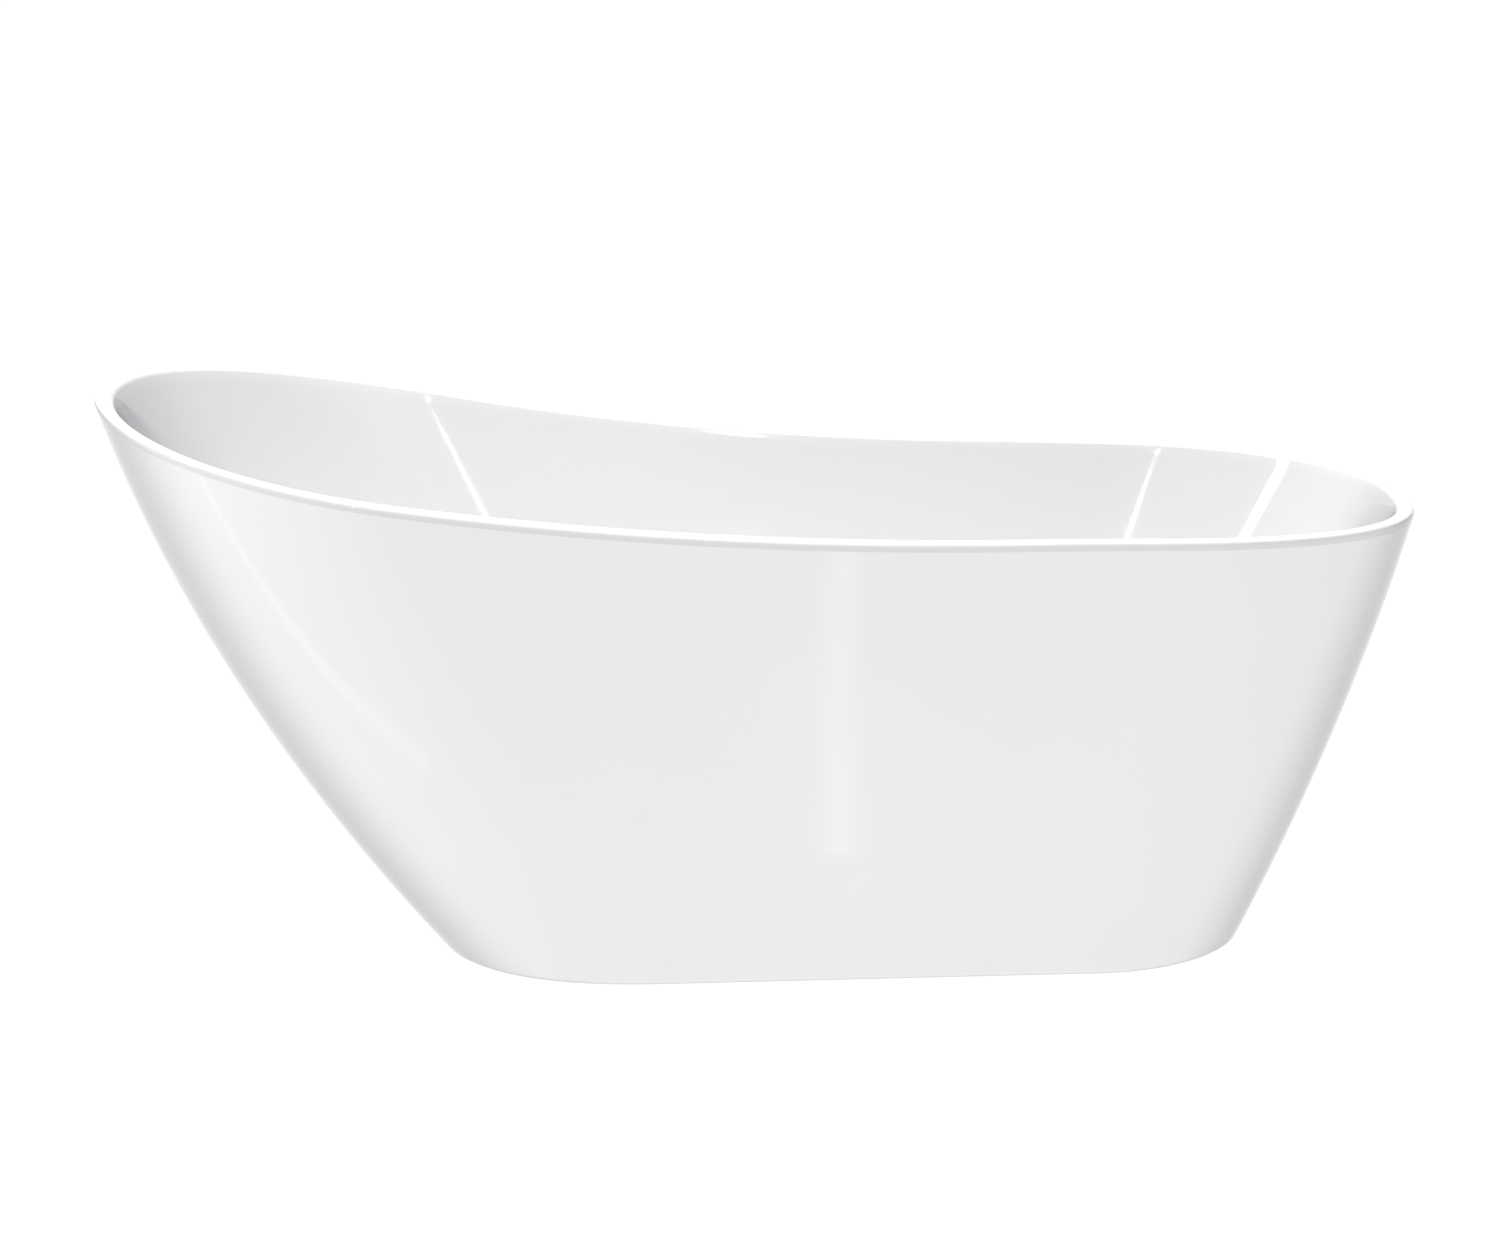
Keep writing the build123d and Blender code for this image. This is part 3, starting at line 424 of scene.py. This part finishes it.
def mapped(tree, value, source, result, smooth=False):
    """Maps a value from one range to another; smooth eases both ends."""
    node = tree.nodes.new("ShaderNodeMapRange")
    if smooth:
        node.interpolation_type = "SMOOTHSTEP"
    node.inputs["From Min"].default_value, node.inputs["From Max"].default_value = source
    node.inputs["To Min"].default_value, node.inputs["To Max"].default_value = result
    tree.links.new(value, node.inputs["Value"])
    return node.outputs["Result"]


def spread(tree, value, low, high):
    """Maps a noise value, which is mostly within 0.3 to 0.7, to a range."""
    return mapped(tree, value, (0.3, 0.7), (low, high))


def axis_parts(tree, vector):
    """The X, Y and Z outputs of a vector."""
    node = tree.nodes.new("ShaderNodeSeparateXYZ")
    tree.links.new(vector, node.inputs["Vector"])
    return node.outputs


def calculated(tree, operation, *values):
    """Output of a Math node over one or two values."""
    node = tree.nodes.new("ShaderNodeMath")
    node.operation = operation
    for socket, value in zip(node.inputs, values):
        tree.links.new(value, socket)
    return node.outputs["Value"]


def random_cells(tree, coordinates, scale):
    """Voronoi cells: three random values that are even within each cell, and the texture itself."""
    cells = tree.nodes.new("ShaderNodeTexVoronoi")
    cells.inputs["Scale"].default_value = scale
    tree.links.new(coordinates.outputs["Object"], cells.inputs["Vector"])
    separate = tree.nodes.new("ShaderNodeSeparateColor")
    tree.links.new(cells.outputs["Color"], separate.inputs["Color"])
    return separate.outputs, cells.outputs


def colours(tree, value, stops):
    """Colour ramp over a value; stops are (position, (r, g, b))."""
    ramp = tree.nodes.new("ShaderNodeValToRGB")
    elements = ramp.color_ramp.elements
    while len(elements) < len(stops):
        elements.new(0.5)
    for element, (position, colour) in zip(elements, stops):
        element.position = position
        element.color = (*colour, 1)
    tree.links.new(value, ramp.inputs["Fac"])
    return ramp.outputs["Color"]


def bump(tree, shader, height, strength, distance):
    """Bump on a shader's normal."""
    node = tree.nodes.new("ShaderNodeBump")
    node.inputs["Strength"].default_value = strength
    node.inputs["Distance"].default_value = distance
    tree.links.new(height, node.inputs["Height"])
    tree.links.new(node.outputs["Normal"], shader.inputs["Normal"])


def mixed(tree, share, first, second):
    """Colour between two; each is a plain colour or a node's output."""
    mix = tree.nodes.new("ShaderNodeMix")
    mix.data_type = "RGBA"
    tree.links.new(share, mix.inputs[0])
    for socket, colour in ((mix.inputs[6], first), (mix.inputs[7], second)):
        if isinstance(colour, tuple):
            socket.default_value = (*colour, 1.0)
        else:
            tree.links.new(colour, socket)
    return mix.outputs[2]


def acrylic(name, painted_shade_factor):
    """Glossy white acrylic with a faint orange peel and painted shade; the second argument is how white
    the painted shade leaves its upright faces.

    The rim is whitest. Upright faces and everything deep in the bath carry painted shade that makes
    them duller, and a painted edge shade darkens them where they turn edge on.
    """
    material, tree, shader, coordinates = new_material(name)
    cloud = noise(tree, coordinates, 3.5)
    tint = colours(tree, cloud, ((0.3, (0.880, 0.885, 0.890)), (0.7, (0.895, 0.900, 0.905))))
    # Painted shade: upright faces and faces deep in the bath get this darker white, scaled by the
    # second argument.
    darker = (0.865 * painted_shade_factor, 0.872 * painted_shade_factor, 0.882 * painted_shade_factor)
    lighter = (0.880 * painted_shade_factor, 0.884 * painted_shade_factor, 0.890 * painted_shade_factor)
    painted_wall_shade_tint = colours(tree, cloud, ((0.3, darker), (0.7, lighter)))
    # Painted edge shade: where a face turns edge on to the view, its colour fades towards dark grey.
    edge = tree.nodes.new("ShaderNodeLayerWeight")
    edge_shade_mask = mapped(tree, edge.outputs["Facing"], (0.38, 1.0), (0.0, 1.0), smooth=True)
    # Painted shade masks: upright faces, and faces low in the bath, take the painted shade colour
    # instead of the rim's white.
    normal = tree.nodes.new("ShaderNodeNewGeometry").outputs["Normal"]
    upright = mapped(tree, axis_parts(tree, normal)["Z"], (0.35, 0.8), (1.0, 0.0))
    height = axis_parts(tree, coordinates.outputs["Object"])["Z"]
    deep = mapped(tree, height, (0.30, 0.52), (1.0, 0.0))
    painted_shade_mask = calculated(tree, "MAXIMUM", upright, deep)
    edge_shaded_colour = mixed(tree, edge_shade_mask, painted_wall_shade_tint, (0.22, 0.23, 0.245))
    tree.links.new(mixed(tree, painted_shade_mask, tint, edge_shaded_colour), shader.inputs["Base Color"])
    tree.links.new(spread(tree, noise(tree, coordinates, 14.0), 0.05, 0.09), shader.inputs["Roughness"])
    shader.inputs["IOR"].default_value = 1.5
    shader.inputs["Coat Weight"].default_value = 0.35
    shader.inputs["Coat Roughness"].default_value = 0.04
    bump(tree, shader, noise(tree, coordinates, 45.0, 2.0), 0.02, 0.0006)
    return material


def metal(name, colour, rough, grain=120.0, metallic=1.0, patch=0.04):
    """Metal with a fine grain in its gloss and slightly patchy colour."""
    material, tree, shader, coordinates = new_material(name)
    darker = tuple(max(0.0, c - patch) for c in colour)
    tint = colours(tree, noise(tree, coordinates, 24.0), ((0.3, darker), (0.7, colour)))
    tree.links.new(tint, shader.inputs["Base Color"])
    fine = noise(tree, coordinates, grain, 6.0, 0.6)
    tree.links.new(spread(tree, fine, rough * 0.8, rough * 1.25), shader.inputs["Roughness"])
    shader.inputs["Metallic"].default_value = metallic
    bump(tree, shader, fine, 0.08, 0.0002)
    return material


def galvanised(name):
    """Zinc-coated steel with the crystal spangle of hot-dip galvanising."""
    material, tree, shader, coordinates = new_material(name)
    values, _ = random_cells(tree, coordinates, 90.0)
    tint = colours(tree, values["Red"], ((0.0, (0.46, 0.48, 0.50)), (1.0, (0.66, 0.68, 0.70))))
    tree.links.new(tint, shader.inputs["Base Color"])
    tree.links.new(spread(tree, values["Green"], 0.32, 0.5), shader.inputs["Roughness"])
    shader.inputs["Metallic"].default_value = 0.9
    bump(tree, shader, noise(tree, coordinates, 200.0), 0.1, 0.0002)
    return material


def plastic(name, colour, rough, speckle=0.03, grain=400.0):
    """Moulded plastic or rubber with a fine grain."""
    material, tree, shader, coordinates = new_material(name)
    darker = tuple(max(0.0, c - speckle) for c in colour)
    tint = colours(tree, noise(tree, coordinates, 60.0), ((0.35, darker), (0.65, colour)))
    tree.links.new(tint, shader.inputs["Base Color"])
    fine = noise(tree, coordinates, grain, 3.0)
    tree.links.new(spread(tree, fine, rough - 0.06, rough + 0.06), shader.inputs["Roughness"])
    bump(tree, shader, fine, 0.15, 0.0003)
    return material


def chipboard(name):
    """Raw chipboard: flakes of several wood colours."""
    material, tree, shader, coordinates = new_material(name)
    values, cells = random_cells(tree, coordinates, 220.0)
    flakes = (
        (0.0, (0.33, 0.22, 0.12)),
        (0.4, (0.52, 0.38, 0.22)),
        (0.8, (0.62, 0.48, 0.30)),
        (1.0, (0.70, 0.58, 0.40)),
    )
    tint = colours(tree, values["Red"], flakes)
    tree.links.new(tint, shader.inputs["Base Color"])
    tree.links.new(spread(tree, values["Blue"], 0.7, 0.9), shader.inputs["Roughness"])
    bump(tree, shader, cells["Distance"], 0.4, 0.001)
    return material


def plywood(name):
    """Plywood: grain on its faces and plies through its thickness."""
    material, tree, shader, coordinates = new_material(name)
    waves = tree.nodes.new("ShaderNodeTexWave")
    waves.bands_direction = "Y"
    waves.inputs["Scale"].default_value = 55.0
    waves.inputs["Distortion"].default_value = 3.0
    waves.inputs["Detail"].default_value = 4.0
    tree.links.new(coordinates.outputs["Object"], waves.inputs["Vector"])
    grain = ((0.0, (0.46, 0.32, 0.18)), (0.5, (0.66, 0.50, 0.31)), (1.0, (0.74, 0.60, 0.40)))
    tint = colours(tree, waves.outputs["Fac"], grain)
    tree.links.new(tint, shader.inputs["Base Color"])
    tree.links.new(spread(tree, waves.outputs["Fac"], 0.6, 0.8), shader.inputs["Roughness"])
    bump(tree, shader, waves.outputs["Fac"], 0.25, 0.0005)
    return material


# Two copies of one acrylic with painted shade: the bath's walls are painted darker (0.84) than the
# skirt's (0.985), for the dimmer light inside the bath.
bath_acrylic_painted_shade = acrylic("white_acrylic_bath_painted_shade", 0.84)
skirt_acrylic_painted_shade = acrylic("white_acrylic_skirt_painted_shade", 0.985)
finishes = {
    "acrylic": bath_acrylic_painted_shade,
    "acrylic_outer": skirt_acrylic_painted_shade,
    "bond_resin": plastic("bond_resin", (0.62, 0.58, 0.46), 0.6, 0.08, 150.0),
    "board": chipboard("chipboard"),
    "frame_steel": galvanised("galvanised_tube"),
    "bracket_steel": galvanised("galvanised_strip"),
    "black_plastic": plastic("black_polyethylene", (0.035, 0.035, 0.038), 0.45, 0.01),
    "zinc_screws": metal("yellow_zinc", (0.62, 0.56, 0.40), 0.28, 300.0),
    "zinc_steel": metal("bright_zinc", (0.60, 0.61, 0.62), 0.26, 260.0),
    "foot_plastic": plastic("black_nylon", (0.045, 0.045, 0.05), 0.5, 0.015),
    "block_wood": plywood("plywood"),
    "chrome": metal("chrome", (0.78, 0.79, 0.80), 0.07, 90.0, 1.0, 0.02),
    "seal_rubber": plastic("black_rubber", (0.022, 0.022, 0.022), 0.7, 0.006, 700.0),
    "white_plastic": plastic("white_polypropylene", (0.76, 0.76, 0.74), 0.4),
    "brass": metal("turned_brass", (0.66, 0.48, 0.20), 0.22, 180.0),
    "stem_steel": metal("stainless_steel", (0.58, 0.58, 0.58), 0.24, 240.0),
    "hose_plastic": plastic("hose_polypropylene", (0.66, 0.66, 0.63), 0.45),
}


def dress(obj, material):
    """Give every slot of an object one material."""
    if not obj.data.materials:
        obj.data.materials.append(material)
    for slot in obj.material_slots:
        slot.material = material


for part in frame["record"]["subparts"]:
    dress(nodes[part["node"]], finishes[part["material_slot"]])

shell = make_shell()
dress(shell, bath_acrylic_painted_shade)
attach(shell, "root")
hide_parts("bathing_shell")

skirt = make_skirt()
dress(skirt, skirt_acrylic_painted_shade)
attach(skirt, "root")
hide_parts("outer_skirt")


# ---- studio ----

def area_light(name, place, target, width, height, power):
    """Soft rectangular light aimed at a point."""
    lamp = bpy.data.lights.new(name, "AREA")
    lamp.shape = "RECTANGLE"
    lamp.size = width
    lamp.size_y = height
    lamp.energy = power
    obj = bpy.data.objects.new(name, lamp)
    obj.location = place
    obj.rotation_euler = (Vector(target) - Vector(place)).to_track_quat("-Z", "Y").to_euler()
    bpy.context.scene.collection.objects.link(obj)
    return obj


def glowing(name, low, high, across=False):
    """Material that gives off white light, brighter along its middle if across is set."""
    material = bpy.data.materials.new(name)
    material.use_nodes = True
    tree = material.node_tree
    shader = tree.nodes["Principled BSDF"]
    coordinates = tree.nodes.new("ShaderNodeTexCoord")
    shader.inputs["Base Color"].default_value = (0.02, 0.02, 0.02, 1)
    shader.inputs["Roughness"].default_value = 0.9
    shader.inputs["Specular IOR Level"].default_value = 0.0
    shader.inputs["Emission Color"].default_value = (1, 1, 1, 1)
    if across:
        ramp = tree.nodes.new("ShaderNodeValToRGB")
        ramp.color_ramp.interpolation = "EASE"
        ramp.color_ramp.elements.new(0.5)
        for element, value in zip(ramp.color_ramp.elements, (0.0, 1.0, 0.0)):
            element.color = (value, value, value, 1)
        tree.links.new(axis_parts(tree, coordinates.outputs["Generated"])["Y"], ramp.inputs["Fac"])
        strength = mapped(tree, ramp.outputs["Color"], (0.0, 1.0), (low, high))
    else:
        strength = spread(tree, noise(tree, coordinates, 0.8), low, high)
    tree.links.new(strength, shader.inputs["Emission Strength"])
    return material


def make_floor():
    """Large plain white floor, lit from below like a product sweep."""
    reach = 60000.0
    corners = [(-reach, -reach, 0), (reach, -reach, 0), (reach, reach, 0), (-reach, reach, 0)]
    floor = mesh_object("studio_floor", corners, [(0, 1, 2, 3)])
    dress(floor, glowing("white_floor", 1.04, 1.07))


def floor_strip(name, start, end, width, brightness):
    """Brighter band in the floor, seen only as a reflection in the gloss."""
    along = Vector((end[0] - start[0], end[1] - start[1], 0.0)).normalized()
    side = Vector((-along.y, along.x, 0.0))
    centre = Vector(((start[0] + end[0]) / 2, (start[1] + end[1]) / 2, 0.0005))
    length = (Vector(end) - Vector(start)).length
    x, y = length / 2 / MM, width / 2 / MM
    strip = mesh_object(name, [(-x, -y, 0), (x, -y, 0), (x, y, 0), (-x, y, 0)], [(0, 1, 2, 3)])
    turned = Matrix((along, side, Vector((0, 0, 1)))).transposed().to_4x4()
    strip.matrix_world = Matrix.Translation(centre) @ turned
    dress(strip, glowing(name + "_glow", 1.02, brightness, across=True))


def make_world():
    """Surroundings: bright overhead, less so half way down, and darker to both sides."""
    world = bpy.data.worlds.new("studio")
    world.use_nodes = True
    tree = world.node_tree
    background = tree.nodes["Background"]
    coordinates = tree.nodes.new("ShaderNodeTexCoord")
    direction = axis_parts(tree, coordinates.outputs["Generated"])
    height = mapped(tree, direction["Z"], (0.45, 0.95), (0.76, 1.62), smooth=True)
    aside = calculated(tree, "ABSOLUTE", direction["X"])
    sides = mapped(tree, aside, (0.28, 0.92), (1.0, 0.15), smooth=True)
    tree.links.new(calculated(tree, "MULTIPLY", height, sides), background.inputs["Strength"])
    background.inputs["Color"].default_value = (1, 1, 1, 1)
    bpy.context.scene.world = world


def make_camera():
    """Camera square to the tub's side, a little above it."""
    camera = bpy.data.cameras.new("camera")
    camera.sensor_width = 36.0
    camera.lens = 78.79
    camera.clip_end = 100.0
    obj = bpy.data.objects.new("camera", camera)
    distance = 4.1921
    elevation = math.radians(13.88)
    aim = Vector((-0.0079, 0.0, 0.4025))
    back = Vector((0.0, -math.cos(elevation), math.sin(elevation)))
    obj.location = aim + back * distance
    obj.rotation_euler = (-back).to_track_quat("-Z", "Y").to_euler()
    bpy.context.scene.collection.objects.link(obj)
    bpy.context.scene.camera = obj


make_floor()
floor_strip("band_back", (-1.9, -0.38), (-0.55, -0.52), 0.14, 1.6)
floor_strip("band_middle", (0.14, -0.42), (0.30, -1.45), 0.09, 1.9)
make_world()
make_camera()
TUB_MIDDLE = (0.0, 0.0, 0.4)
FAR_WALL_BACK = (-0.4, 0.36, 0.55)
FAR_WALL_FOOT = (0.68, 0.22, 0.53)
area_light("overhead", (0.0, 0.2, 3.6), TUB_MIDDLE, 3.2, 1.4, 62)
area_light("front_strip", (-0.71, -5.0, 2.32), FAR_WALL_BACK, 0.07, 0.46, 3)
area_light("back_strip", (-1.95, -0.62, 2.2), FAR_WALL_FOOT, 0.34, 2.2, 22)
bpy.context.scene.view_settings.view_transform = "Standard"
